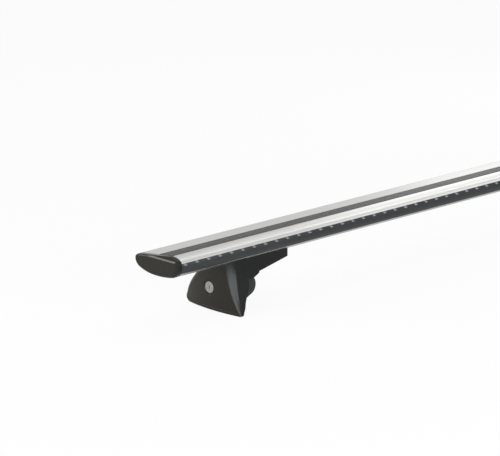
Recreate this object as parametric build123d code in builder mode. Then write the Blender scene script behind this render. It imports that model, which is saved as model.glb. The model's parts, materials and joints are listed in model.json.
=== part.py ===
from build123d import *
import os
from math import cos, pi, sqrt

# An aero roof rack crossbar: a wing-shaped aluminium bar on two feet that clamp a roof rail.
# Millimetres. +X runs along the bar, -Y is the leading edge, +Z is up, and the origin is on the ground
# under the middle of the bar. The left foot is modelled, and the right one is its mirror image.

# Bar
BAR_LENGTH = 1184.0       # extrusion, between the end caps
CHORD = 78.6              # trailing edge to nose
NOSE_REACH = 38.2         # nose ahead of the middle of the feet
CREST_RISE = 9.4          # highest line of the wing above its trailing edge
KEEL_DROP = 19.0          # lowest line of the wing below its trailing edge
BAR_HEIGHT = 63.0         # lowest line of the wing above the ground
WALL = 2.2                # extrusion wall
TRIM_GAP = 0.15           # clearance of strips and plugs in the extrusion

# T-slot on top of the bar and the rubber strip that closes it
SLOT_OFFSET = 8.6         # middle of the slot from the middle of the feet, towards the leading edge
SLOT_WIDTH = 28.0
SLOT_DEPTH = 7.5
SLOT_MOUTH = 18.0
SLOT_LIP = 2.2
STRIP_WIDTH = 23.4
STRIP_SEAT = 4.5          # seat of the strip below the crest
STRIP_PROUD = 0.3         # strip above the aluminium
BARB_REACH = 1.2          # barbs of the strip under the slot's lips
BARB_HEIGHT = 1.4

# Bolt channel below the bar
CHANNEL_MOUTH = 9.0
CHANNEL_LIP = 3.0
CHANNEL_WIDTH = 20.0
CHANNEL_DEPTH = 6.8

# Notched rubber strip in the nose of the bar
NOSE_STRIP_TOP = 2.5      # upper edge above the trailing edge
NOSE_STRIP_HEIGHT = 13.9
NOSE_STRIP_DEPTH = 5.0
NOSE_ROOT_DEPTH = 3.0
NOSE_ROOT_HEIGHT = 6.0
NOTCH_PITCH = 20.0
NOTCH_FIRST = 6.7         # centre of the first notch from the left end of the extrusion
NOTCH_WIDTH = 5.2
NOTCH_LEAN = 2.7          # how far a notch leans towards -X over its height
NOTCH_HEIGHT = 3.2        # lower end of a notch below the strip's upper edge
NOTCH_TILT = 34.0         # floor of a notch, degrees from upright
NOTCH_BITE = 0.5          # depth of a notch below the nose at its lower end

# End caps
CAP_LENGTH = 8.0
CAP_RIM = 2.4             # rounding all round the face
CAP_CREST_ROUND = 7.0     # fuller rounding along the crest
CAP_NOSE_ROUND = 7.6      # and round the nose
PLUG_LENGTH = 18.0

# Foot cover: concave towards the leading edge, with a pointed toe, and rounded towards the trailing edge
FOOT_INSET = 90.5         # cover's outer face from the end of the bar
COVER_LIFT = 2.6          # lower edge above the ground at the heel
COVER_TOE_LIFT = -0.17    # the same at the toe, before its corner is rounded
COVER_WALL = 2.5
COVER_FRONT_BASE = 51.6   # reach towards the leading edge at the ground
COVER_FRONT_TOP = 33.0    # the same under the bar
COVER_FLARE = 2.1         # power of the concave flare
COVER_REAR_BASE = 51.2    # reach towards the trailing edge at the ground
COVER_REAR_TOP = 24.5     # the same under the bar
COVER_SWELL = 60.0        # height over which the rounded side swells
COVER_SWELL_POWER = 1.4
COVER_CROWN = 170.0       # radius of the outer face, seen from above
COVER_CORNER_TOP = 18.0
COVER_CORNER_BASE = 5.0
COVER_CORNER_LEAST = 1.0  # inside the wall
COVER_HEEL = 13.0         # round lower corner towards the trailing edge
COVER_TOE_ROUND = 3.0     # the same towards the leading edge
COVER_LIP = 0.4           # lip along the lower edge, proud of the face
COVER_LIP_HEIGHT = 3.2
COVER_LEVELS = 8          # sections the shell is drawn through
COVER_DEPTH = 36.5        # outer face to the inboard edge under the bar
COVER_TOE = 14.0          # outer face to the inboard edge above the toe
COVER_TOE_TIP = 9.0       # outer face to the inboard edge at the ground
# Inboard edge between them, as shares of the way and of the height
COVER_EDGE = (
    (-0.138, 0.018),
    (-0.022, 0.052),
    (0.173, 0.12),
    (0.333, 0.207),
    (0.467, 0.266),
    (0.82, 0.414),
    (0.933, 0.565),
)
BAR_GAP = 0.4             # saddle below the bar
COVER_BAR_GAP = 0.6       # cover below the bar

# Lock in the cover, and the clamp screw behind it on the same axis
AXIS_HEIGHT = 30.6
LOCK_RADIUS = 7.4
LOCK_LENGTH = 7.7
LOCK_SINK = 0.4           # lock's face behind the cover's face
LOCK_RECESS_RADIUS = 10.4
LOCK_RECESS_DEPTH = 1.1
LOCK_BOSS_WALL = 2.5
RUNNING_GAP = 0.06        # radial clearance of turning pieces
LOCK_NECK_RADIUS = 3.5
CAM_LENGTH = 20.0
CAM_WIDTH = 6.0
CAM_THICKNESS = 2.0
KEYWAY_WIDTH = 1.0
KEYWAY_LENGTH = 5.2
KEYWAY_DEPTH = 3.0
PIECE_GAP = 0.6           # free space between pieces that pass each other

# Outer claw
CLAW_THICKNESS = 3.0
CLAW_FLOOR = 2.6          # underside of the lip above the ground
CLAW_HEIGHT = 52.0
CLAW_BASE_HALF = 32.0
CLAW_TOP_HALF = 21.0
CLAW_BASE_HEIGHT = 14.0   # full width up to here
CLAW_NECK_HEIGHT = 26.0   # top width from here
CLAW_LIP = 5.0            # lip under the rail's outboard edge
CLAW_HOOK_HEIGHT = 2.0
CLAW_WINDOW_GAP = 1.5     # around the lock's cam
CLAW_SCREW_RADIUS = 2.5
CLAW_SCREW_LENGTH = 14.0
CLAW_SCREW_HEAD_RADIUS = 4.6
CLAW_SCREW_HEAD = 2.6
CLAW_SCREW_SPREAD = 32.0
CLAW_SCREW_DROP = 8.0     # below the claw's upper edge

# Saddle
SADDLE_HALF = 28.5        # half the width of the core inside the cover
NECK_HALF = 19.5          # half the width of the neck above the core
ARM_HALF = 32.0           # half the width of the arm beyond the cover
CORE_LENGTH = 21.0
CORE_FLOOR = 19.0         # underside of the core above the ground
ARM_LENGTH = 108.5        # cover's outer face to the arm's end
ARM_END = 6.1             # thickness of the arm's end below the bar's lowest line
ARM_ROOT = 16.3           # the same where the arm's slant starts
ARM_ROOT_REACH = 57.8     # cover's outer face to that place
ARM_STEP = 2.0            # step below the slant
ARM_HAUNCH_RISE = 8.4     # underside over the jaw, above the clamp's axis
ARM_HAUNCH_REACH = 46.5   # cover's outer face to the end of that underside

# Rail pad
PAD_HEIGHT = 4.0
PAD_HALF = 26.0
PAD_INSET = 2.0
PAD_GROOVES = 3
PAD_GROOVE_WIDTH = 2.0
PAD_GROOVE_DEPTH = 1.2

# Clamp screw M6, washer and cross nut
SCREW_RADIUS = 3.0
SCREW_LENGTH = 30.0
SCREW_HEAD_RADIUS = 5.0
SCREW_HEAD = 6.0
SOCKET_ACROSS = 5.0
SOCKET_DEPTH = 3.2
HEAD_POCKET_GAP = 2.0     # key room round the head
WASHER_RADIUS = 6.2
WASHER_THICKNESS = 1.6
LOOSE_GAP = 0.3           # radial clearance of loose holes
NUT_RADIUS = 5.0
NUT_LENGTH = 21.0

# Inner jaw
JAW_HALF = 28.8
JAW_GAP = 5.0             # core to jaw, the way left to close
JAW_DEPTH = 16.7          # front of the jaw to the back of its bulge
JAW_TOP_GAP = 1.0         # under the arm
JAW_TOP_DEPTH = 14.4
JAW_CHIN_HEIGHT = 19.8    # height where the bulge turns under
JAW_CHIN_DEPTH = 11.5
JAW_TIP = 12.6            # lowest edge above the ground
JAW_TIP_HEIGHT = 1.0
JAW_HOOK = 3.6            # hook towards the rail
JAW_HOOK_ROOT = 16.4      # where the hook meets the jaw's front
NUT_FROM_FRONT = 7.6

# T-bolts M6 that hold the foot in the bolt channel
TBOLT_PLACES = (64.0, 88.0)   # from the cover's outer face
TBOLT_RADIUS = 3.0
TBOLT_HEAD = 3.5
TBOLT_HEAD_LENGTH = 13.0
TBOLT_HEAD_GAP = 1.0      # head to the channel's sides
TBOLT_SEAT_GAP = 0.1      # head above the channel's lips
TBOLT_CLAMP = 4.5         # saddle between the bar and the washer
TBOLT_TAIL = 1.5          # thread below the nut
TNUT_ACROSS = 10.0
TNUT_HEIGHT = 5.0
TWASHER_RADIUS = 6.0
TWASHER_THICKNESS = 1.6
TNUT_POCKET_GAP = 2.0

# Wing outline from the nose round the belly, the tail and the top: share of the chord from the
# trailing edge, then share of the drop (below) or of the rise (above)
NOSE = (1.0, 0.095)
BELLY = ((0.843, 0.879), (0.381, 0.984), (0.1, 0.695), (0.019, 0.395), (0.0013, 0.07))
TOP = ((0.017, 0.125), (0.05, 0.31), (0.1, 0.43), (0.764, 1.0), (0.933, 0.727))

# Places worked out from the sizes above
MARGIN = 5.0                                       # overrun of cutting shapes
SKIM = 0.05                                        # overrun where one would only touch a surface
TAIL_Z = BAR_HEIGHT + KEEL_DROP
CREST_Z = TAIL_Z + CREST_RISE
NOSE_Y = -NOSE_REACH
TAIL_Y = CHORD - NOSE_REACH
END_X = -(BAR_LENGTH / 2 + CAP_LENGTH)
SLOT_CENTRE_Y = -SLOT_OFFSET
SEAT_Z = CREST_Z - STRIP_SEAT
SLOT_ROOF_Z = SEAT_Z - SLOT_LIP
SLOT_FLOOR_Z = SLOT_ROOF_Z - SLOT_DEPTH
LIP_Z = BAR_HEIGHT + CHANNEL_LIP
NOSE_TOP_Z = TAIL_Z + NOSE_STRIP_TOP
NOSE_MIDDLE_Z = NOSE_TOP_Z - NOSE_STRIP_HEIGHT / 2

FACE_X = END_X + FOOT_INSET
COVER_TOP_Z = BAR_HEIGHT + KEEL_DROP / 2
COVER_HEIGHTS = [COVER_TOP_Z * i / (COVER_LEVELS - 1) for i in range(COVER_LEVELS)]
LOCK_BACK = LOCK_SINK + LOCK_LENGTH
CLAW_FRONT = LOCK_BACK + PIECE_GAP
CORE_FRONT = CLAW_FRONT + CLAW_THICKNESS
CAM_FRONT = CORE_FRONT + PIECE_GAP
POCKET_BACK = CAM_FRONT + CAM_THICKNESS + PIECE_GAP
HEAD_FRONT = POCKET_BACK + PIECE_GAP
HEAD_BACK = HEAD_FRONT + SCREW_HEAD
WASHER_FRONT = HEAD_BACK + RUNNING_GAP
WASHER_BACK = WASHER_FRONT + WASHER_THICKNESS
CORE_BACK = CORE_FRONT + CORE_LENGTH
JAW_FRONT = CORE_BACK + JAW_GAP
NUT_CENTRE = JAW_FRONT + NUT_FROM_FRONT
ARM_ROOT_Z = BAR_HEIGHT - ARM_ROOT
ARM_STEP_Z = ARM_ROOT_Z - ARM_STEP
ARM_HAUNCH_Z = AXIS_HEIGHT + ARM_HAUNCH_RISE
PAD_Z = CORE_FLOOR - PAD_HEIGHT
CLAW_SCREW_Z = CLAW_HEIGHT - CLAW_SCREW_DROP
TBOLT_HEAD_Z = LIP_Z + TBOLT_SEAT_GAP
TWASHER_Z = BAR_HEIGHT - TBOLT_CLAMP - TWASHER_THICKNESS
TNUT_Z = TWASHER_Z - TNUT_HEIGHT


def at(inboard):
    """X of a place on the left foot, given its distance inboard of the cover's outer face."""
    return FACE_X + inboard


def belly_point(share, depth):
    return (TAIL_Y - share * CHORD, TAIL_Z - depth * KEEL_DROP)


def top_point(share, height):
    return (TAIL_Y - share * CHORD, TAIL_Z + height * CREST_RISE)


# Wing outline with Y across and Z up, a chain of arcs that each start where the last one heads
WING_POINTS = [belly_point(*p) for p in BELLY] + [top_point(*p) for p in TOP] + [belly_point(*NOSE)]
with BuildSketch() as wing:
    with BuildLine():
        corner, heading = belly_point(*NOSE), (0, -1)
        for point in WING_POINTS:
            arc = TangentArc(corner, point, tangent=heading)
            corner, heading = arc @ 1, arc % 1
    make_face()

# The whole bar as one block, for cutting what lies against it
with BuildPart() as bar_block:
    with BuildSketch(Plane.YZ):
        add(wing.sketch)
    extrude(amount=-END_X, both=True)

# Chambers of the extrusion: the wing inside its wall, less the walls of the slot, the channel and the groove
with BuildSketch() as chambers:
    add(wing.sketch)
    offset(amount=-WALL, mode=Mode.REPLACE)
    with Locations((SLOT_CENTRE_Y, SLOT_FLOOR_Z - WALL)):
        Rectangle(SLOT_WIDTH + 2 * WALL, CREST_Z, align=(Align.CENTER, Align.MIN), mode=Mode.SUBTRACT)
    with Locations((0, LIP_Z + CHANNEL_DEPTH + WALL)):
        Rectangle(CHANNEL_WIDTH + 2 * WALL, CREST_Z, align=(Align.CENTER, Align.MAX), mode=Mode.SUBTRACT)
    with Locations((NOSE_Y + NOSE_STRIP_DEPTH + NOSE_ROOT_DEPTH + WALL, NOSE_MIDDLE_Z)):
        Rectangle(CHORD, CREST_Z, align=(Align.MAX, Align.CENTER), mode=Mode.SUBTRACT)


def nose_recess(gap):
    """Section of the groove in the nose, made smaller by a gap: a wide mouth and a root behind it."""
    with BuildSketch(mode=Mode.PRIVATE) as recess:
        with Locations((NOSE_Y + NOSE_STRIP_DEPTH - gap, NOSE_MIDDLE_Z)):
            Rectangle(CHORD / 2, NOSE_STRIP_HEIGHT - 2 * gap, align=(Align.MAX, Align.CENTER))
        with Locations((NOSE_Y + NOSE_STRIP_DEPTH + NOSE_ROOT_DEPTH - gap, NOSE_MIDDLE_Z)):
            Rectangle(CHORD / 2, NOSE_ROOT_HEIGHT - 2 * gap, align=(Align.MAX, Align.CENTER))
    return recess.sketch


# Extrusion
with BuildPart() as bar_extrusion:
    with BuildSketch(Plane.YZ):
        add(wing.sketch)
        add(chambers.sketch, mode=Mode.SUBTRACT)
        with Locations((SLOT_CENTRE_Y, SEAT_Z)):
            Rectangle(
                STRIP_WIDTH + 2 * TRIM_GAP, CREST_Z, align=(Align.CENTER, Align.MIN), mode=Mode.SUBTRACT
            )
        with Locations((SLOT_CENTRE_Y, SLOT_ROOF_Z)):
            Rectangle(SLOT_MOUTH, CREST_Z, align=(Align.CENTER, Align.MIN), mode=Mode.SUBTRACT)
            Rectangle(SLOT_WIDTH, SLOT_DEPTH, align=(Align.CENTER, Align.MAX), mode=Mode.SUBTRACT)
        with Locations((0, LIP_Z)):
            Rectangle(CHANNEL_MOUTH, LIP_Z, align=(Align.CENTER, Align.MAX), mode=Mode.SUBTRACT)
            Rectangle(CHANNEL_WIDTH, CHANNEL_DEPTH, align=(Align.CENTER, Align.MIN), mode=Mode.SUBTRACT)
        add(nose_recess(0), mode=Mode.SUBTRACT)
    extrude(amount=BAR_LENGTH / 2, both=True)

# Rubber strip over the T-slot, a little proud of the wing, with barbs under the slot's lips
with BuildPart() as top_strip:
    with BuildSketch(Plane.YZ):
        with Locations((0, STRIP_PROUD)):
            add(wing.sketch)
        with Locations((SLOT_CENTRE_Y, SEAT_Z)):
            Rectangle(STRIP_WIDTH, CREST_Z, align=(Align.CENTER, Align.MIN), mode=Mode.INTERSECT)
        with Locations((SLOT_CENTRE_Y, SEAT_Z)):
            Rectangle(SLOT_MOUTH - 2 * TRIM_GAP, SLOT_LIP + BARB_HEIGHT, align=(Align.CENTER, Align.MAX))
        with Locations((SLOT_CENTRE_Y, SLOT_ROOF_Z - TRIM_GAP)):
            Rectangle(SLOT_MOUTH + 2 * BARB_REACH, BARB_HEIGHT - TRIM_GAP, align=(Align.CENTER, Align.MAX))
    extrude(amount=BAR_LENGTH / 2, both=True)

# Rubber strip in the nose, with a row of leaning notches along its upper edge
NOTCH_FOOT = Vector(0, NOSE_Y + NOTCH_BITE, NOSE_TOP_Z - NOTCH_HEIGHT)
NOTCH_PLANE = Plane(
    origin=NOTCH_FOOT,
    x_dir=(1, 0, 0),
    z_dir=Vector(0, -1, 0).rotate(Axis.X, -NOTCH_TILT),
)
NOTCH_COUNT = 1 + int((BAR_LENGTH - NOTCH_FIRST - NOTCH_WIDTH) / NOTCH_PITCH)
NOTCHES = [NOTCH_FIRST - BAR_LENGTH / 2 + i * NOTCH_PITCH for i in range(NOTCH_COUNT)]
with BuildPart() as nose_strip:
    with BuildSketch(Plane.YZ):
        add(wing.sketch)
        add(nose_recess(TRIM_GAP), mode=Mode.INTERSECT)
    extrude(amount=BAR_LENGTH / 2, both=True)
    with BuildSketch(NOTCH_PLANE):
        with Locations(*[(notch, 0) for notch in NOTCHES]):
            Polygon(
                (-NOTCH_WIDTH / 2, 0),
                (NOTCH_WIDTH / 2, 0),
                (NOTCH_WIDTH / 2 - 2 * NOTCH_LEAN, 2 * NOTCH_HEIGHT),
                (-NOTCH_WIDTH / 2 - 2 * NOTCH_LEAN, 2 * NOTCH_HEIGHT),
                align=None,
            )
    extrude(amount=NOSE_STRIP_DEPTH, mode=Mode.SUBTRACT)

# End cap with a rounded rim, and plugs in the chambers
with BuildPart() as end_cap:
    with BuildSketch(Plane.YZ.offset(-BAR_LENGTH / 2)):
        add(wing.sketch)
    extrude(amount=-CAP_LENGTH)
    fillet(end_cap.faces().sort_by(Axis.X)[0].edges(), CAP_RIM)
    with BuildSketch(Plane.XZ):
        with Locations((END_X + CAP_CREST_ROUND - SKIM, CREST_Z - CAP_CREST_ROUND + SKIM)):
            Rectangle(CAP_CREST_ROUND + MARGIN, CAP_CREST_ROUND + MARGIN, align=(Align.MAX, Align.MIN))
            Circle(CAP_CREST_ROUND, mode=Mode.SUBTRACT)
    extrude(amount=CHORD, both=True, mode=Mode.SUBTRACT)
    with BuildSketch(Plane.XY):
        with Locations((END_X + CAP_NOSE_ROUND - SKIM, NOSE_Y + CAP_NOSE_ROUND - SKIM)):
            Rectangle(CAP_NOSE_ROUND + MARGIN, CAP_NOSE_ROUND + MARGIN, align=(Align.MAX, Align.MAX))
            Circle(CAP_NOSE_ROUND, mode=Mode.SUBTRACT)
    extrude(amount=2 * CREST_Z, mode=Mode.SUBTRACT)
    with BuildSketch(Plane.YZ.offset(-BAR_LENGTH / 2)):
        add(chambers.sketch)
        offset(amount=-TRIM_GAP, mode=Mode.REPLACE)
    extrude(amount=PLUG_LENGTH)


def front_half(z):
    """Cover's reach towards the leading edge at a height: a concave flare."""
    share = max(0.0, 1 - z / COVER_TOP_Z)
    return COVER_FRONT_TOP + (COVER_FRONT_BASE - COVER_FRONT_TOP) * share**COVER_FLARE


def rear_half(z):
    """Cover's reach towards the trailing edge at a height: a swell that is upright at both ends."""
    share = min(1.0, max(0.0, z / COVER_SWELL))
    return COVER_REAR_TOP + (COVER_REAR_BASE - COVER_REAR_TOP) * (1 + cos(pi * share**COVER_SWELL_POWER)) / 2


def edge_point(way, height):
    """A point of the cover's inboard edge, seen along Y."""
    return (at(COVER_TOE + way * (COVER_DEPTH - COVER_TOE)), height * COVER_TOP_Z)


def cover_section(z, inset):
    """Section of the cover at a height, inset all round: a crowned outer face with rounded corners."""
    front_y = inset - front_half(z)
    rear_y = rear_half(z) - inset
    rise = min(1.0, max(0.0, z / COVER_TOP_Z))
    corner = COVER_CORNER_BASE + (COVER_CORNER_TOP - COVER_CORNER_BASE) * rise
    radius = COVER_CROWN - inset
    front_x = at(inset) + radius - sqrt(radius**2 - front_y**2)
    rear_x = at(inset) + radius - sqrt(radius**2 - rear_y**2)
    back = at(COVER_DEPTH + MARGIN)
    with BuildSketch(Plane.XY.offset(z)) as section:
        with BuildLine():
            ThreePointArc((rear_x, rear_y), (at(inset), 0), (front_x, front_y))
            Polyline((front_x, front_y), (back, front_y), (back, rear_y), (rear_x, rear_y))
        make_face()
        fillet(section.vertices().sort_by(Axis.X)[:2], max(corner - inset, COVER_CORNER_LEAST))
    return section.sketch


def cover_body(inset, rise):
    """The cover without its hollow: sections inset all round, above a lower edge that rises to the heel."""
    front_y = inset - COVER_FRONT_BASE
    rear_y = COVER_REAR_BASE - inset
    with BuildPart() as body:
        loft([cover_section(z, inset) for z in COVER_HEIGHTS])
        with BuildSketch(Plane.YZ.offset(at(-MARGIN))) as side:
            with BuildLine():
                heel = TangentArc(
                    (rear_y, COVER_LIFT + rise + COVER_HEEL),
                    (rear_y - COVER_HEEL, COVER_LIFT + rise),
                    tangent=(0, -1),
                )
                edge = TangentArc(heel @ 1, (front_y, COVER_TOE_LIFT + rise), tangent=heel % 1)
                Polyline(
                    edge @ 1,
                    (front_y, COVER_TOP_Z + MARGIN),
                    (rear_y, COVER_TOP_Z + MARGIN),
                    heel @ 0,
                )
            make_face()
            fillet(side.vertices().group_by(Axis.X)[0].sort_by(Axis.Y)[:1], COVER_TOE_ROUND)
        extrude(amount=COVER_DEPTH + 3 * MARGIN, mode=Mode.INTERSECT)
    return body.part


def make_foot_cover():
    reach = COVER_FRONT_BASE + COVER_REAR_BASE
    inside = [cover_section(-MARGIN, COVER_WALL)]
    inside += [cover_section(z, COVER_WALL) for z in COVER_HEIGHTS[1:-1]]
    inside += [cover_section(COVER_TOP_Z + MARGIN, COVER_WALL)]
    with BuildPart() as foot_cover:
        # Lip along the lower edge, and the body that stands in it
        add(cover_body(-COVER_LIP, 0))
        add(cover_body(-2 * COVER_LIP, COVER_LIP_HEIGHT), mode=Mode.SUBTRACT)
        add(cover_body(0, COVER_LIP))
        loft(inside, mode=Mode.SUBTRACT)
        # Boss for the lock, and the dish round it
        with BuildSketch(Plane.YZ.offset(at(COVER_WALL / 2))):
            with Locations((0, AXIS_HEIGHT)):
                Circle(LOCK_RADIUS + RUNNING_GAP + LOCK_BOSS_WALL)
        extrude(amount=LOCK_BACK - COVER_WALL / 2)
        with BuildSketch(Plane.YZ.offset(at(0))):
            with Locations((0, AXIS_HEIGHT)):
                Circle(LOCK_RADIUS + RUNNING_GAP)
        extrude(amount=LOCK_BACK + MARGIN, mode=Mode.SUBTRACT)
        for depth in (-LOCK_RECESS_DEPTH, LOCK_RECESS_DEPTH):
            with BuildSketch(Plane.YZ.offset(at(depth))):
                with Locations((0, AXIS_HEIGHT)):
                    Circle(LOCK_RECESS_RADIUS - depth)
        loft(mode=Mode.SUBTRACT)
        # Inboard edge, from the toe at the ground up to the bar
        with BuildSketch(Plane.XZ):
            with BuildLine():
                edge = Spline((at(COVER_TOE_TIP), -SKIM), *[edge_point(*share) for share in COVER_EDGE])
                Polyline(
                    edge @ 1,
                    (at(COVER_DEPTH), COVER_TOP_Z + MARGIN),
                    (at(COVER_DEPTH + 2 * MARGIN), COVER_TOP_Z + MARGIN),
                    (at(COVER_DEPTH + 2 * MARGIN), -MARGIN),
                    (at(COVER_TOE_TIP), -MARGIN),
                    edge @ 0,
                )
            make_face()
        extrude(amount=reach, both=True, mode=Mode.SUBTRACT)
        add(bar_block.part.moved(Location((0, 0, -COVER_BAR_GAP))), mode=Mode.SUBTRACT)
    return foot_cover.part


def make_lock_barrel():
    with BuildPart() as lock_barrel:
        with BuildSketch(Plane.YZ.offset(at(LOCK_SINK))):
            with Locations((0, AXIS_HEIGHT)):
                Circle(LOCK_RADIUS)
        extrude(amount=LOCK_LENGTH)
        with BuildSketch(Plane.YZ.offset(at(LOCK_BACK))):
            with Locations((0, AXIS_HEIGHT)):
                Circle(LOCK_NECK_RADIUS)
        extrude(amount=CAM_FRONT - LOCK_BACK)
        with BuildSketch(Plane.YZ.offset(at(LOCK_SINK))):
            with Locations((0, AXIS_HEIGHT)):
                Rectangle(KEYWAY_WIDTH, KEYWAY_LENGTH)
        extrude(amount=KEYWAY_DEPTH, mode=Mode.SUBTRACT)
    return lock_barrel.part


def make_lock_cam():
    with BuildPart() as lock_cam:
        with BuildSketch(Plane.YZ.offset(at(CAM_FRONT))):
            with Locations((0, AXIS_HEIGHT)):
                SlotOverall(CAM_LENGTH, CAM_WIDTH)
        extrude(amount=CAM_THICKNESS)
    return lock_cam.part


def make_outer_claw():
    with BuildPart() as outer_claw:
        with BuildSketch(Plane.YZ.offset(at(CLAW_FRONT))):
            Polygon(
                (-CLAW_BASE_HALF, CLAW_FLOOR),
                (CLAW_BASE_HALF, CLAW_FLOOR),
                (CLAW_BASE_HALF, CLAW_BASE_HEIGHT),
                (CLAW_TOP_HALF, CLAW_NECK_HEIGHT),
                (CLAW_TOP_HALF, CLAW_HEIGHT),
                (-CLAW_TOP_HALF, CLAW_HEIGHT),
                (-CLAW_TOP_HALF, CLAW_NECK_HEIGHT),
                (-CLAW_BASE_HALF, CLAW_BASE_HEIGHT),
                align=None,
            )
            with Locations((0, AXIS_HEIGHT)):
                SlotOverall(
                    CAM_LENGTH + 2 * CLAW_WINDOW_GAP, CAM_WIDTH + 2 * CLAW_WINDOW_GAP, mode=Mode.SUBTRACT
                )
            with Locations((-CLAW_SCREW_SPREAD / 2, CLAW_SCREW_Z), (CLAW_SCREW_SPREAD / 2, CLAW_SCREW_Z)):
                Circle(CLAW_SCREW_RADIUS + LOOSE_GAP, mode=Mode.SUBTRACT)
        extrude(amount=CLAW_THICKNESS)
        # Lip under the rail, with an upturned hook at its end
        with BuildSketch(Plane.XY.offset(CLAW_FLOOR)):
            with Locations((at(CLAW_FRONT), 0)):
                Rectangle(CLAW_THICKNESS + CLAW_LIP, 2 * CLAW_BASE_HALF, align=(Align.MIN, Align.CENTER))
        extrude(amount=CLAW_THICKNESS)
        with BuildSketch(Plane.XY.offset(CLAW_FLOOR)):
            with Locations((at(CORE_FRONT + CLAW_LIP), 0)):
                Rectangle(CLAW_HOOK_HEIGHT, 2 * CLAW_BASE_HALF, align=(Align.MAX, Align.CENTER))
        extrude(amount=CLAW_THICKNESS + CLAW_HOOK_HEIGHT)
    return outer_claw.part


def make_claw_screws():
    with BuildPart() as claw_screws:
        for y in (-CLAW_SCREW_SPREAD / 2, CLAW_SCREW_SPREAD / 2):
            with BuildSketch(Plane.YZ.offset(at(CLAW_FRONT))):
                with Locations((y, CLAW_SCREW_Z)):
                    Circle(CLAW_SCREW_RADIUS)
            extrude(amount=CLAW_SCREW_LENGTH)
            with BuildSketch(Plane.YZ.offset(at(CLAW_FRONT))):
                with Locations((y, CLAW_SCREW_Z)):
                    Circle(CLAW_SCREW_HEAD_RADIUS)
            extrude(amount=-CLAW_SCREW_HEAD)
            with BuildSketch(Plane.YZ.offset(at(CLAW_FRONT - CLAW_SCREW_HEAD))):
                with Locations((y, CLAW_SCREW_Z)):
                    RegularPolygon(CLAW_SCREW_RADIUS, 6)
            extrude(amount=CLAW_SCREW_HEAD / 2, mode=Mode.SUBTRACT)
    return claw_screws.part


def make_foot_saddle():
    roof = TAIL_Z
    with BuildPart() as foot_saddle:
        # Core between the claw and the jaw, and the neck above it
        with BuildSketch(Plane.XZ):
            Polygon(
                (at(CORE_FRONT), CORE_FLOOR),
                (at(CORE_BACK), CORE_FLOOR),
                (at(CORE_BACK), ARM_HAUNCH_Z),
                (at(CORE_FRONT), ARM_HAUNCH_Z),
                align=None,
            )
        extrude(amount=SADDLE_HALF, both=True)
        with BuildSketch(Plane.XZ):
            Polygon(
                (at(CORE_FRONT), ARM_HAUNCH_Z),
                (at(ARM_HAUNCH_REACH), ARM_HAUNCH_Z),
                (at(ARM_HAUNCH_REACH), roof),
                (at(CORE_FRONT), roof),
                align=None,
            )
        extrude(amount=NECK_HALF, both=True)
        # Arm beyond the cover, with a slanted underside and a step in it
        with BuildSketch(Plane.XZ):
            Polygon(
                (at(COVER_DEPTH + PIECE_GAP), ARM_HAUNCH_Z),
                (at(ARM_HAUNCH_REACH), ARM_HAUNCH_Z),
                (at(ARM_ROOT_REACH), ARM_STEP_Z),
                (at(ARM_ROOT_REACH), ARM_ROOT_Z),
                (at(ARM_LENGTH), BAR_HEIGHT - ARM_END),
                (at(ARM_LENGTH), roof),
                (at(COVER_DEPTH + PIECE_GAP), roof),
                align=None,
            )
        extrude(amount=ARM_HALF, both=True)
        # Room for the lock's cam and the screw's head, and the screw's bore
        with BuildSketch(Plane.YZ.offset(at(CORE_FRONT))):
            with Locations((0, AXIS_HEIGHT)):
                Circle(CAM_LENGTH / 2 + CLAW_WINDOW_GAP)
        extrude(amount=POCKET_BACK - CORE_FRONT, mode=Mode.SUBTRACT)
        with BuildSketch(Plane.YZ.offset(at(CORE_FRONT))):
            with Locations((0, AXIS_HEIGHT)):
                Circle(WASHER_RADIUS + HEAD_POCKET_GAP)
        extrude(amount=WASHER_BACK - CORE_FRONT, mode=Mode.SUBTRACT)
        with BuildSketch(Plane.YZ.offset(at(CORE_FRONT))):
            with Locations((0, AXIS_HEIGHT)):
                Circle(SCREW_RADIUS + RUNNING_GAP)
            with Locations((-CLAW_SCREW_SPREAD / 2, CLAW_SCREW_Z), (CLAW_SCREW_SPREAD / 2, CLAW_SCREW_Z)):
                Circle(CLAW_SCREW_RADIUS)
        extrude(amount=CORE_LENGTH, mode=Mode.SUBTRACT)
        # Holes for the T-bolts, with pockets for their nuts from below
        for place in TBOLT_PLACES:
            with BuildSketch(Plane.XY.offset(ARM_HAUNCH_Z)):
                with Locations((at(place), 0)):
                    Circle(TWASHER_RADIUS + TNUT_POCKET_GAP)
            extrude(amount=BAR_HEIGHT - TBOLT_CLAMP - ARM_HAUNCH_Z, mode=Mode.SUBTRACT)
            with BuildSketch(Plane.XY.offset(ARM_HAUNCH_Z)):
                with Locations((at(place), 0)):
                    Circle(TBOLT_RADIUS + LOOSE_GAP)
            extrude(amount=roof - ARM_HAUNCH_Z, mode=Mode.SUBTRACT)
        add(bar_block.part.moved(Location((0, 0, -BAR_GAP))), mode=Mode.SUBTRACT)
    return foot_saddle.part


def make_rail_pad():
    length = CORE_LENGTH - 2 * PAD_INSET
    middle = at((CORE_FRONT + CORE_BACK) / 2)
    with BuildPart() as rail_pad:
        with BuildSketch(Plane.XY.offset(PAD_Z)):
            with Locations((middle, 0)):
                RectangleRounded(length, 2 * PAD_HALF, PAD_INSET)
        extrude(amount=PAD_HEIGHT)
        with BuildSketch(Plane.XY.offset(PAD_Z)):
            with Locations((middle, 0)):
                with GridLocations(length / PAD_GROOVES, 0, PAD_GROOVES, 1):
                    Rectangle(PAD_GROOVE_WIDTH, 2 * PAD_HALF)
        extrude(amount=PAD_GROOVE_DEPTH, mode=Mode.SUBTRACT)
    return rail_pad.part


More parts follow.
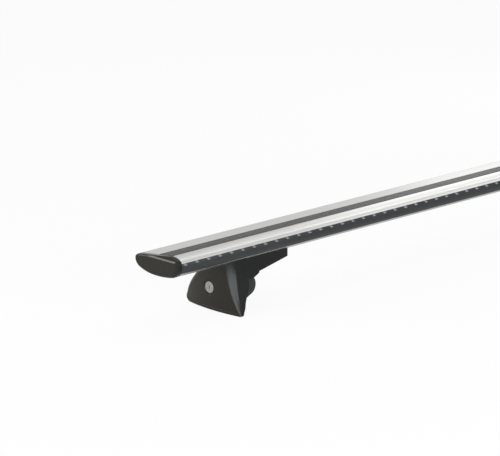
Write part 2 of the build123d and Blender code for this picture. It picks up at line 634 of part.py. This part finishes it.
def make_clamp_screw():
    with BuildPart() as clamp_screw:
        with BuildSketch(Plane.YZ.offset(at(HEAD_FRONT))):
            with Locations((0, AXIS_HEIGHT)):
                Circle(SCREW_HEAD_RADIUS)
        extrude(amount=SCREW_HEAD)
        with BuildSketch(Plane.YZ.offset(at(HEAD_BACK))):
            with Locations((0, AXIS_HEIGHT)):
                Circle(SCREW_RADIUS)
        extrude(amount=SCREW_LENGTH)
        with BuildSketch(Plane.YZ.offset(at(HEAD_FRONT))):
            with Locations((0, AXIS_HEIGHT)):
                RegularPolygon(SOCKET_ACROSS / 2, 6, major_radius=False)
        extrude(amount=SOCKET_DEPTH, mode=Mode.SUBTRACT)
    return clamp_screw.part


def make_clamp_washer():
    with BuildPart() as clamp_washer:
        with BuildSketch(Plane.YZ.offset(at(WASHER_FRONT))):
            with Locations((0, AXIS_HEIGHT)):
                Circle(WASHER_RADIUS)
                Circle(SCREW_RADIUS + LOOSE_GAP, mode=Mode.SUBTRACT)
        extrude(amount=WASHER_THICKNESS)
    return clamp_washer.part


def make_clamp_nut():
    with BuildPart() as clamp_nut:
        with BuildSketch(Plane.XZ):
            with Locations((at(NUT_CENTRE), AXIS_HEIGHT)):
                Circle(NUT_RADIUS)
        extrude(amount=NUT_LENGTH / 2, both=True)
        with BuildSketch(Plane.YZ.offset(at(NUT_CENTRE - NUT_RADIUS))):
            with Locations((0, AXIS_HEIGHT)):
                Circle(SCREW_RADIUS + RUNNING_GAP)
        extrude(amount=2 * NUT_RADIUS, mode=Mode.SUBTRACT)
    return clamp_nut.part


def make_inner_jaw():
    top_z = ARM_HAUNCH_Z - JAW_TOP_GAP
    with BuildPart() as inner_jaw:
        with BuildSketch(Plane.XZ):
            with BuildLine():
                bulge = ThreePointArc(
                    (at(JAW_FRONT + JAW_TOP_DEPTH), top_z),
                    (at(JAW_FRONT + JAW_DEPTH), AXIS_HEIGHT),
                    (at(JAW_FRONT + JAW_CHIN_DEPTH), JAW_CHIN_HEIGHT),
                )
                Polyline(
                    bulge @ 1,
                    (at(JAW_FRONT - JAW_HOOK), JAW_TIP),
                    (at(JAW_FRONT - JAW_HOOK), JAW_TIP + JAW_TIP_HEIGHT),
                    (at(JAW_FRONT), JAW_HOOK_ROOT),
                    (at(JAW_FRONT), top_z),
                    bulge @ 0,
                )
            make_face()
        extrude(amount=JAW_HALF, both=True)
        # Bore for the clamp screw, and a pocket for its nut that opens at the rear end
        with BuildSketch(Plane.YZ.offset(at(JAW_FRONT))):
            with Locations((0, AXIS_HEIGHT)):
                Circle(SCREW_RADIUS + LOOSE_GAP)
        extrude(amount=JAW_DEPTH + MARGIN, mode=Mode.SUBTRACT)
        with BuildSketch(Plane.XZ.offset(NUT_LENGTH / 2)):
            with Locations((at(NUT_CENTRE), AXIS_HEIGHT)):
                Circle(NUT_RADIUS + RUNNING_GAP)
        extrude(amount=-(NUT_LENGTH / 2 + JAW_HALF + MARGIN), mode=Mode.SUBTRACT)
    return inner_jaw.part


def make_t_bolts():
    with BuildPart() as t_bolts:
        for place in TBOLT_PLACES:
            with BuildSketch(Plane.XY.offset(TBOLT_HEAD_Z)):
                with Locations((at(place), 0)):
                    Rectangle(TBOLT_HEAD_LENGTH, CHANNEL_WIDTH - 2 * TBOLT_HEAD_GAP)
            extrude(amount=TBOLT_HEAD)
            with BuildSketch(Plane.XY.offset(TNUT_Z - TBOLT_TAIL)):
                with Locations((at(place), 0)):
                    Circle(TBOLT_RADIUS)
            extrude(amount=TBOLT_HEAD_Z - TNUT_Z + TBOLT_TAIL)
    return t_bolts.part


def make_t_bolt_washers():
    with BuildPart() as t_bolt_washers:
        for place in TBOLT_PLACES:
            with BuildSketch(Plane.XY.offset(TWASHER_Z)):
                with Locations((at(place), 0)):
                    Circle(TWASHER_RADIUS)
                    Circle(TBOLT_RADIUS + LOOSE_GAP, mode=Mode.SUBTRACT)
            extrude(amount=TWASHER_THICKNESS)
    return t_bolt_washers.part


def make_t_bolt_nuts():
    with BuildPart() as t_bolt_nuts:
        for place in TBOLT_PLACES:
            with BuildSketch(Plane.XY.offset(TNUT_Z)):
                with Locations((at(place), 0)):
                    RegularPolygon(TNUT_ACROSS / 2, 6, major_radius=False)
                    Circle(TBOLT_RADIUS + RUNNING_GAP, mode=Mode.SUBTRACT)
            extrude(amount=TNUT_HEIGHT)
    return t_bolt_nuts.part


# Every piece of the left foot, by its name
FOOT_PIECES = {
    "foot_saddle": make_foot_saddle,
    "foot_cover": make_foot_cover,
    "lock_barrel": make_lock_barrel,
    "lock_cam": make_lock_cam,
    "outer_claw": make_outer_claw,
    "claw_screws": make_claw_screws,
    "rail_pad": make_rail_pad,
    "inner_jaw": make_inner_jaw,
    "clamp_screw": make_clamp_screw,
    "clamp_washer": make_clamp_washer,
    "clamp_nut": make_clamp_nut,
    "t_bolts": make_t_bolts,
    "t_bolt_washers": make_t_bolt_washers,
    "t_bolt_nuts": make_t_bolt_nuts,
}


def save(piece, name):
    piece.label = name
    export_step(piece, f"parts/{name}.step")


def save_pair(piece, name):
    """The left piece where it was modelled, and the right one mirrored across the middle of the bar."""
    save(piece, f"{name}_left")
    save(mirror(piece, about=Plane.YZ), f"{name}_right")


os.makedirs("parts", exist_ok=True)
save(bar_extrusion.part, "bar_extrusion")
save(top_strip.part, "top_strip")
save(nose_strip.part, "nose_strip")
save_pair(end_cap.part, "end_cap")
for piece_name, make_piece in FOOT_PIECES.items():
    save_pair(make_piece(), piece_name)
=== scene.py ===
import json

import bpy
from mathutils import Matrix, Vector

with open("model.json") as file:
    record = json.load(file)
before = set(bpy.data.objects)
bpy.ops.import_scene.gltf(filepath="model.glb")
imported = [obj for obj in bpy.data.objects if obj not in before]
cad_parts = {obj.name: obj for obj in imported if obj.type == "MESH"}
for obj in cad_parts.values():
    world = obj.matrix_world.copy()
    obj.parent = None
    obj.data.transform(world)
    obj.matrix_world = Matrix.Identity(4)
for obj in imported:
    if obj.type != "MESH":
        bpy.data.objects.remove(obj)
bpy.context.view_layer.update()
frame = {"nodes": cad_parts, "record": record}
nodes = frame["nodes"]
scene = bpy.context.scene
scene.view_settings.view_transform = "Standard"


# Camera at the photo's view, which is 500 by 456 pixels: a long lens, no roll and no shift
SENSOR_WIDTH = 36.0
LENS = 261.79
CLIP_END = 200.0
CAMERA_PLACE = (-3.5814, -3.1737, 1.2960)
CAMERA_WAY = (0.67969, 0.68597, -0.25974)

# Colours of the finishes, each from its darkest to its palest
ALUMINIUM = ((0.44, 0.438, 0.427), (0.50, 0.498, 0.487))
BLACK_PLASTIC = ((0.0016, 0.0017, 0.0017), (0.0028, 0.0029, 0.0029))
# The jaws' plastic is paler than the rest: painted light that stands in for the light their faces catch
JAW_PLASTIC_PAINTED_LIGHT = ((0.016, 0.0165, 0.0165), (0.022, 0.0225, 0.0225))
LOCK_METAL = ((0.18, 0.18, 0.174), (0.235, 0.235, 0.226))
PLATED_STEEL = ((0.50, 0.51, 0.53), (0.64, 0.65, 0.66))
COATED_STEEL = ((0.016, 0.016, 0.017), (0.028, 0.028, 0.029))
PAD_RUBBER = ((0.018, 0.018, 0.018), (0.032, 0.032, 0.032))
NOSE_RUBBER = ((0.010, 0.011, 0.0115), (0.016, 0.0175, 0.018))
TOP_RUBBER = ((0.026, 0.026, 0.025), (0.038, 0.038, 0.036))

# Colours laid over those: painted light on the plastic's outboard faces, pale metal in the notches
PAINTED_LIGHT_PLASTIC = (0.0122, 0.0115, 0.0092)
NOTCH_METAL = (0.23, 0.24, 0.245)

# Roughness of the finishes, each from least to most
ALUMINIUM_ROUGHNESS = (0.30, 0.42)
PLASTIC_ROUGHNESS = (0.17, 0.22)
LOCK_ROUGHNESS = (0.4, 0.52)
PLATED_ROUGHNESS = (0.25, 0.4)
COATED_ROUGHNESS = (0.28, 0.4)
RUBBER_ROUGHNESS = (0.32, 0.44)
TOP_ROUGHNESS = (0.18, 0.26)

# Specular levels of the plastic and rubber
PLASTIC_SHINE = 0.21
PAD_SHINE = 0.4
NOSE_SHINE = 0.3
TOP_SHINE = 0.03

# Scales of the patterns, along X, Y and Z or the same all round: the larger, the finer
EVEN = (1.0, 1.0, 1.0)
DRAW_LINES = (1.5, 900.0, 900.0)
CLOUDS = (3.0, 20.0, 20.0)
RUBBER_GRAIN = (60.0, 2500.0, 2500.0)
RUBBER_DUST = (30.0, 120.0, 120.0)
TOP_RIBS = (0.0, 140.0, 0.0)
PLASTIC_GRAIN = 1800.0
PLASTIC_TONE = 26.0
METAL_BLOTCHES = 220.0
METAL_SCRATCHES = 2600.0
COATING_PEEL = 700.0
COATING_TONE = 40.0

# Depths of the bumps and radii of the softened edges, in metres
DRAW_LINE_DEPTH = 0.00004
RUBBER_GRAIN_DEPTH = 0.00004
TOP_RIB_DEPTH = 0.00025
PLASTIC_GRAIN_DEPTH = 0.00005
SCRATCH_DEPTH = 0.00003
PEEL_DEPTH = 0.00006
METAL_EDGE = 0.0003
EXTRUDED_EDGE = 0.0004
MOULDED_EDGE = 0.0006
EDGE_SAMPLES = 6          # rays that look for an edge nearby

# Ways that the notches' floors and right walls look, and how closely a face has to look that way
NOTCH_FLOOR = (0.0, -0.829, 0.559)
NOTCH_FLOOR_LEAST = 0.997
NOTCH_WALL = (-1.0, 0.0, 0.0)
NOTCH_WALL_LEAST = 0.4

# How far along X a plastic face looks where its painted light begins, and where it is full
PAINTED_LIGHT_BEGINS = 0.35
PAINTED_LIGHT_FULL = 0.8

# Floor and world, in metres and shares of white
FLOOR_HALF = 40.0
FLOOR_SINK = 0.0002
FLOOR_COLOUR = (0.86, 0.86, 0.86)
FLOOR_ROUGHNESS = 0.9
FLOOR_GLOW = 0.92         # share of plain white in what the camera sees, the rest takes the shadow
FLOOR_REFLECTED = 0.6     # share of that white that reflections show
WORLD_LIGHT = 0.35        # level at which the world lights the object

# Colours of the light
WHITE = (1.0, 1.0, 1.0)
WARM = (1.0, 0.945, 0.85)
COOL = (0.90, 0.97, 1.0)

# Softboxes: name, place, the point it looks at, width and height, power, colour
BAR_MIDDLE = (0.0, 0.0, 0.08)
BAR_NEAR = (-0.1, 0.0, 0.08)
LEFT_FOOT = (-0.55, 0.0, 0.05)
SOFTBOXES = (
    ("overhead", (-0.2, 0.3, 2.4), BAR_MIDDLE, (2.4, 1.6), 10.0, WHITE),
    ("right", (3.1, 0.45, 3.1), BAR_NEAR, (1.2, 1.2), 13.0, WHITE),
    ("right_back", (0.75, 0.6, 0.55), BAR_MIDDLE, (0.42, 0.62), 1.15, WHITE),
    ("right_front", (0.8, -0.6, 0.7), BAR_MIDDLE, (0.45, 0.45), 0.85, WHITE),
    ("left", (-2.25, 0.95, 0.40), LEFT_FOOT, (1.7, 0.75), 37.0, WARM),
    ("front_left", (-2.5, -1.22, 0.42), LEFT_FOOT, (0.9, 0.8), 10.0, WHITE),
    ("front", (-0.84, -1.9, 0.42), LEFT_FOOT, (3.6, 0.8), 54.0, COOL),
)


def turned(way):
    """Turn of a camera or lamp that looks along a way, with its top up."""
    return Vector(way).to_track_quat("-Z", "Y").to_euler()


# Camera
camera_data = bpy.data.cameras.new("camera")
camera_data.sensor_fit = "HORIZONTAL"
camera_data.sensor_width = SENSOR_WIDTH
camera_data.lens = LENS
camera_data.clip_end = CLIP_END
camera = bpy.data.objects.new("camera", camera_data)
camera.location = CAMERA_PLACE
camera.rotation_euler = turned(CAMERA_WAY)
scene.collection.objects.link(camera)
scene.camera = camera


# Small helpers for node materials
def new_material(name):
    material = bpy.data.materials.new(name)
    material.use_nodes = True
    shader = material.node_tree.nodes["Principled BSDF"]
    return material, material.node_tree, shader


def add_node(tree, kind, **settings):
    node = tree.nodes.new(kind)
    for key, value in settings.items():
        setattr(node, key, value)
    return node


def object_coords(tree, scale):
    """Object coordinates in metres, times a scale along each axis."""
    coords = add_node(tree, "ShaderNodeTexCoord")
    mapping = add_node(tree, "ShaderNodeMapping")
    mapping.inputs["Scale"].default_value = scale
    tree.links.new(coords.outputs["Object"], mapping.inputs["Vector"])
    return mapping.outputs["Vector"]


def noise(tree, vector, scale=1.0, detail=2.0, roughness=0.5):
    node = add_node(tree, "ShaderNodeTexNoise")
    node.inputs["Scale"].default_value = scale
    node.inputs["Detail"].default_value = detail
    node.inputs["Roughness"].default_value = roughness
    tree.links.new(vector, node.inputs["Vector"])
    return node.outputs["Fac"]


def ramp(tree, factor, colours, low=0.3, high=0.75):
    """A colour between two, by a factor between low and high."""
    node = add_node(tree, "ShaderNodeValToRGB")
    for element, position, colour in zip(node.color_ramp.elements, (low, high), colours):
        element.position = position
        element.color = (*colour, 1.0)
    tree.links.new(factor, node.inputs["Fac"])
    return node.outputs["Color"]


def span(tree, factor, least, most):
    """A factor from 0 to 1 spread over a range of values."""
    node = add_node(tree, "ShaderNodeMapRange")
    node.inputs["To Min"].default_value = least
    node.inputs["To Max"].default_value = most
    tree.links.new(factor, node.inputs["Value"])
    return node.outputs["Result"]


def bump(tree, height, depth, strength, under):
    """A bump of a depth in metres, on top of another normal."""
    node = add_node(tree, "ShaderNodeBump")
    node.inputs["Strength"].default_value = strength
    node.inputs["Distance"].default_value = depth
    tree.links.new(height, node.inputs["Height"])
    tree.links.new(under, node.inputs["Normal"])
    return node.outputs["Normal"]


def rounded(tree, radius):
    """Softly rounded edges in the shading."""
    node = add_node(tree, "ShaderNodeBevel", samples=EDGE_SAMPLES)
    node.inputs["Radius"].default_value = radius
    return node.outputs["Normal"]


def facing(tree, direction, least):
    """1 on the faces that look one way, 0 on the others."""
    geometry = add_node(tree, "ShaderNodeNewGeometry")
    dot = add_node(tree, "ShaderNodeVectorMath", operation="DOT_PRODUCT")
    dot.inputs[1].default_value = Vector(direction).normalized()
    tree.links.new(geometry.outputs["True Normal"], dot.inputs[0])
    over = add_node(tree, "ShaderNodeMath", operation="GREATER_THAN")
    over.inputs[1].default_value = least
    tree.links.new(dot.outputs["Value"], over.inputs[0])
    return over.outputs["Value"]


def lay_over(tree, shader, colour, share):
    """Lays a second colour over the material's own, by a share from 0 to 1."""
    mix = add_node(tree, "ShaderNodeMix", data_type="RGBA")
    mix.inputs["B"].default_value = (*colour, 1.0)
    own = shader.inputs["Base Color"].links[0].from_socket
    tree.links.new(share, mix.inputs["Factor"])
    tree.links.new(own, mix.inputs["A"])
    tree.links.new(mix.outputs["Result"], shader.inputs["Base Color"])


def make_aluminium():
    """Satin anodised extrusion: fine draw lines along the bar, faint cloudiness."""
    material, tree, shader = new_material("bar_aluminium")
    lines = noise(tree, object_coords(tree, DRAW_LINES), detail=3.0, roughness=0.6)
    clouds = noise(tree, object_coords(tree, CLOUDS))
    shader.inputs["Metallic"].default_value = 1.0
    tree.links.new(ramp(tree, clouds, ALUMINIUM), shader.inputs["Base Color"])
    tree.links.new(span(tree, lines, *ALUMINIUM_ROUGHNESS), shader.inputs["Roughness"])
    normal = bump(tree, lines, DRAW_LINE_DEPTH, strength=0.5, under=rounded(tree, EXTRUDED_EDGE))
    tree.links.new(normal, shader.inputs["Normal"])
    return material


def make_rubber(name, colours, shine, roughness, ribs=False):
    """Dusty black rubber with a fine grain, and ribs along the bar where they are asked for."""
    material, tree, shader = new_material(name)
    grain = noise(tree, object_coords(tree, RUBBER_GRAIN))
    dust = noise(tree, object_coords(tree, RUBBER_DUST), detail=4.0, roughness=0.6)
    tree.links.new(ramp(tree, dust, colours, high=0.8), shader.inputs["Base Color"])
    tree.links.new(span(tree, dust, *roughness), shader.inputs["Roughness"])
    shader.inputs["Specular IOR Level"].default_value = shine
    normal = rounded(tree, EXTRUDED_EDGE)
    if ribs:
        wave = add_node(tree, "ShaderNodeTexWave", wave_type="BANDS", wave_profile="SIN")
        wave.bands_direction = "Y"
        wave.inputs["Scale"].default_value = 1.0
        tree.links.new(object_coords(tree, TOP_RIBS), wave.inputs["Vector"])
        normal = bump(tree, wave.outputs["Fac"], TOP_RIB_DEPTH, strength=0.6, under=normal)
    normal = bump(tree, grain, RUBBER_GRAIN_DEPTH, strength=0.4, under=normal)
    tree.links.new(normal, shader.inputs["Normal"])
    return material


def make_notched_rubber():
    """The nose strip's rubber, with pale metal in its notches."""
    material = make_rubber("nose_strip_rubber", NOSE_RUBBER, NOSE_SHINE, RUBBER_ROUGHNESS)
    tree = material.node_tree
    shader = tree.nodes["Principled BSDF"]
    mask = add_node(tree, "ShaderNodeMath", operation="MAXIMUM")
    tree.links.new(facing(tree, NOTCH_FLOOR, NOTCH_FLOOR_LEAST), mask.inputs[0])
    tree.links.new(facing(tree, NOTCH_WALL, NOTCH_WALL_LEAST), mask.inputs[1])
    lay_over(tree, shader, NOTCH_METAL, mask.outputs["Value"])
    tree.links.new(mask.outputs["Value"], shader.inputs["Metallic"])
    return material


def make_plastic(name, colours):
    """Moulded black plastic with a fine grain."""
    material, tree, shader = new_material(name)
    coords = object_coords(tree, EVEN)
    grain = noise(tree, coords, PLASTIC_GRAIN, roughness=0.6)
    tone = noise(tree, coords, PLASTIC_TONE, detail=3.0, roughness=0.55)
    tree.links.new(ramp(tree, tone, colours), shader.inputs["Base Color"])
    tree.links.new(span(tree, tone, *PLASTIC_ROUGHNESS), shader.inputs["Roughness"])
    shader.inputs["Specular IOR Level"].default_value = PLASTIC_SHINE
    normal = bump(tree, grain, PLASTIC_GRAIN_DEPTH, strength=0.3, under=rounded(tree, MOULDED_EDGE))
    tree.links.new(normal, shader.inputs["Normal"])
    return material


def make_plastic_with_painted_light():
    """Black plastic whose outboard faces are painted a lighter warm dark grey, painted light that stands in
    for the light falling on them.
    """
    material = make_plastic("black_plastic", BLACK_PLASTIC)
    tree = material.node_tree
    shader = tree.nodes["Principled BSDF"]
    # Painted light: the faces that look along X get a paler warm colour, by the X of their normal
    geometry = add_node(tree, "ShaderNodeNewGeometry")
    axes = add_node(tree, "ShaderNodeSeparateXYZ")
    tree.links.new(geometry.outputs["Normal"], axes.inputs["Vector"])
    outward = add_node(tree, "ShaderNodeMath", operation="ABSOLUTE")
    tree.links.new(axes.outputs["X"], outward.inputs[0])
    painted_light = add_node(tree, "ShaderNodeMapRange")
    painted_light.inputs["From Min"].default_value = PAINTED_LIGHT_BEGINS
    painted_light.inputs["From Max"].default_value = PAINTED_LIGHT_FULL
    tree.links.new(outward.outputs["Value"], painted_light.inputs["Value"])
    lay_over(tree, shader, PAINTED_LIGHT_PLASTIC, painted_light.outputs["Result"])
    return material


def make_metal(name, colours, roughness):
    """Plated or die-cast metal with faint blotches and fine scratches."""
    material, tree, shader = new_material(name)
    coords = object_coords(tree, EVEN)
    blotches = noise(tree, coords, METAL_BLOTCHES, detail=3.0, roughness=0.6)
    scratches = noise(tree, coords, METAL_SCRATCHES)
    shader.inputs["Metallic"].default_value = 1.0
    tree.links.new(ramp(tree, blotches, colours, high=0.7), shader.inputs["Base Color"])
    tree.links.new(span(tree, blotches, *roughness), shader.inputs["Roughness"])
    normal = bump(tree, scratches, SCRATCH_DEPTH, strength=0.5, under=rounded(tree, METAL_EDGE))
    tree.links.new(normal, shader.inputs["Normal"])
    return material


def make_coated_steel():
    """Black coated steel, with the coating's slight orange peel."""
    material, tree, shader = new_material("coated_steel")
    coords = object_coords(tree, EVEN)
    peel = noise(tree, coords, COATING_PEEL)
    tone = noise(tree, coords, COATING_TONE, detail=3.0)
    tree.links.new(ramp(tree, tone, COATED_STEEL), shader.inputs["Base Color"])
    tree.links.new(span(tree, tone, *COATED_ROUGHNESS), shader.inputs["Roughness"])
    normal = bump(tree, peel, PEEL_DEPTH, strength=0.5, under=rounded(tree, MOULDED_EDGE))
    tree.links.new(normal, shader.inputs["Normal"])
    return material


# A material for each slot of the record, and for the nodes that have a finish of their own
slot_materials = {
    "bar_aluminium": make_aluminium(),
    "black_plastic": make_plastic_with_painted_light(),
    "lock_metal": make_metal("lock_metal", LOCK_METAL, LOCK_ROUGHNESS),
    "plated_steel": make_metal("plated_steel", PLATED_STEEL, PLATED_ROUGHNESS),
    "coated_steel": make_coated_steel(),
    "pad_rubber": make_rubber("pad_rubber", PAD_RUBBER, PAD_SHINE, RUBBER_ROUGHNESS),
}
# The jaws get the paler plastic, painted light on their faces
jaw_plastic_painted_light = make_plastic("jaw_plastic_painted_light", JAW_PLASTIC_PAINTED_LIGHT)
saddle_plastic = make_plastic("saddle_plastic", BLACK_PLASTIC)
node_materials = {
    "inner_jaw_left": jaw_plastic_painted_light,
    "inner_jaw_right": jaw_plastic_painted_light,
    "foot_saddle_left": saddle_plastic,
    "foot_saddle_right": saddle_plastic,
    "top_strip": make_rubber("top_strip_rubber", TOP_RUBBER, TOP_SHINE, TOP_ROUGHNESS, ribs=True),
    "nose_strip": make_notched_rubber(),
}
for entry in frame["record"]["subparts"]:
    node = entry["node"]
    material = node_materials.get(node) or slot_materials[entry["material_slot"]]
    mesh = nodes[node].data
    mesh.materials.clear()
    mesh.materials.append(material)


# Floor and world: white to the camera and in reflections, a plain soft level for the rest
def seen_directly(tree, reflected):
    """1 for camera rays, a share for reflected and refracted rays, 0 for rays that only light the object."""
    path = add_node(tree, "ShaderNodeLightPath")
    total = path.outputs["Is Camera Ray"]
    for other in ("Is Glossy Ray", "Is Transmission Ray"):
        largest = add_node(tree, "ShaderNodeMath", operation="MAXIMUM")
        part = add_node(tree, "ShaderNodeMath", operation="MULTIPLY")
        part.inputs[1].default_value = reflected
        tree.links.new(path.outputs[other], part.inputs[0])
        tree.links.new(total, largest.inputs[0])
        tree.links.new(part.outputs["Value"], largest.inputs[1])
        total = largest.outputs["Value"]
    return total


floor_mesh = bpy.data.meshes.new("floor")
corners = [(x * FLOOR_HALF, y * FLOOR_HALF, -FLOOR_SINK) for x, y in ((-1, -1), (1, -1), (1, 1), (-1, 1))]
floor_mesh.from_pydata(corners, [], [(0, 1, 2, 3)])
floor = bpy.data.objects.new("floor", floor_mesh)
scene.collection.objects.link(floor)
floor_material, tree, shader = new_material("floor")
shader.inputs["Base Color"].default_value = (*FLOOR_COLOUR, 1.0)
shader.inputs["Roughness"].default_value = FLOOR_ROUGHNESS
glow = add_node(tree, "ShaderNodeEmission")
glow.inputs["Color"].default_value = (*WHITE, 1.0)
mix = add_node(tree, "ShaderNodeMixShader")
share = add_node(tree, "ShaderNodeMath", operation="MULTIPLY")
share.inputs[1].default_value = FLOOR_GLOW
tree.links.new(seen_directly(tree, FLOOR_REFLECTED), share.inputs[0])
tree.links.new(share.outputs["Value"], mix.inputs["Fac"])
tree.links.new(shader.outputs["BSDF"], mix.inputs[1])
tree.links.new(glow.outputs["Emission"], mix.inputs[2])
tree.links.new(mix.outputs["Shader"], tree.nodes["Material Output"].inputs["Surface"])
floor_mesh.materials.append(floor_material)

world = bpy.data.worlds.new("world")
scene.world = world
world.use_nodes = True
tree = world.node_tree
background = tree.nodes["Background"]
background.inputs["Color"].default_value = (*WHITE, 1.0)
strength = span(tree, seen_directly(tree, 1.0), WORLD_LIGHT, 1.0)
tree.links.new(strength, background.inputs["Strength"])


# Soft studio light, which the camera itself doesn't see
for name, place, target, size, power, colour in SOFTBOXES:
    lamp = bpy.data.lights.new(name, "AREA")
    lamp.color = colour
    lamp.shape = "RECTANGLE"
    lamp.size, lamp.size_y = size
    lamp.energy = power
    holder = bpy.data.objects.new(name, lamp)
    holder.location = place
    holder.rotation_euler = turned(Vector(target) - Vector(place))
    holder.visible_camera = False
    scene.collection.objects.link(holder)
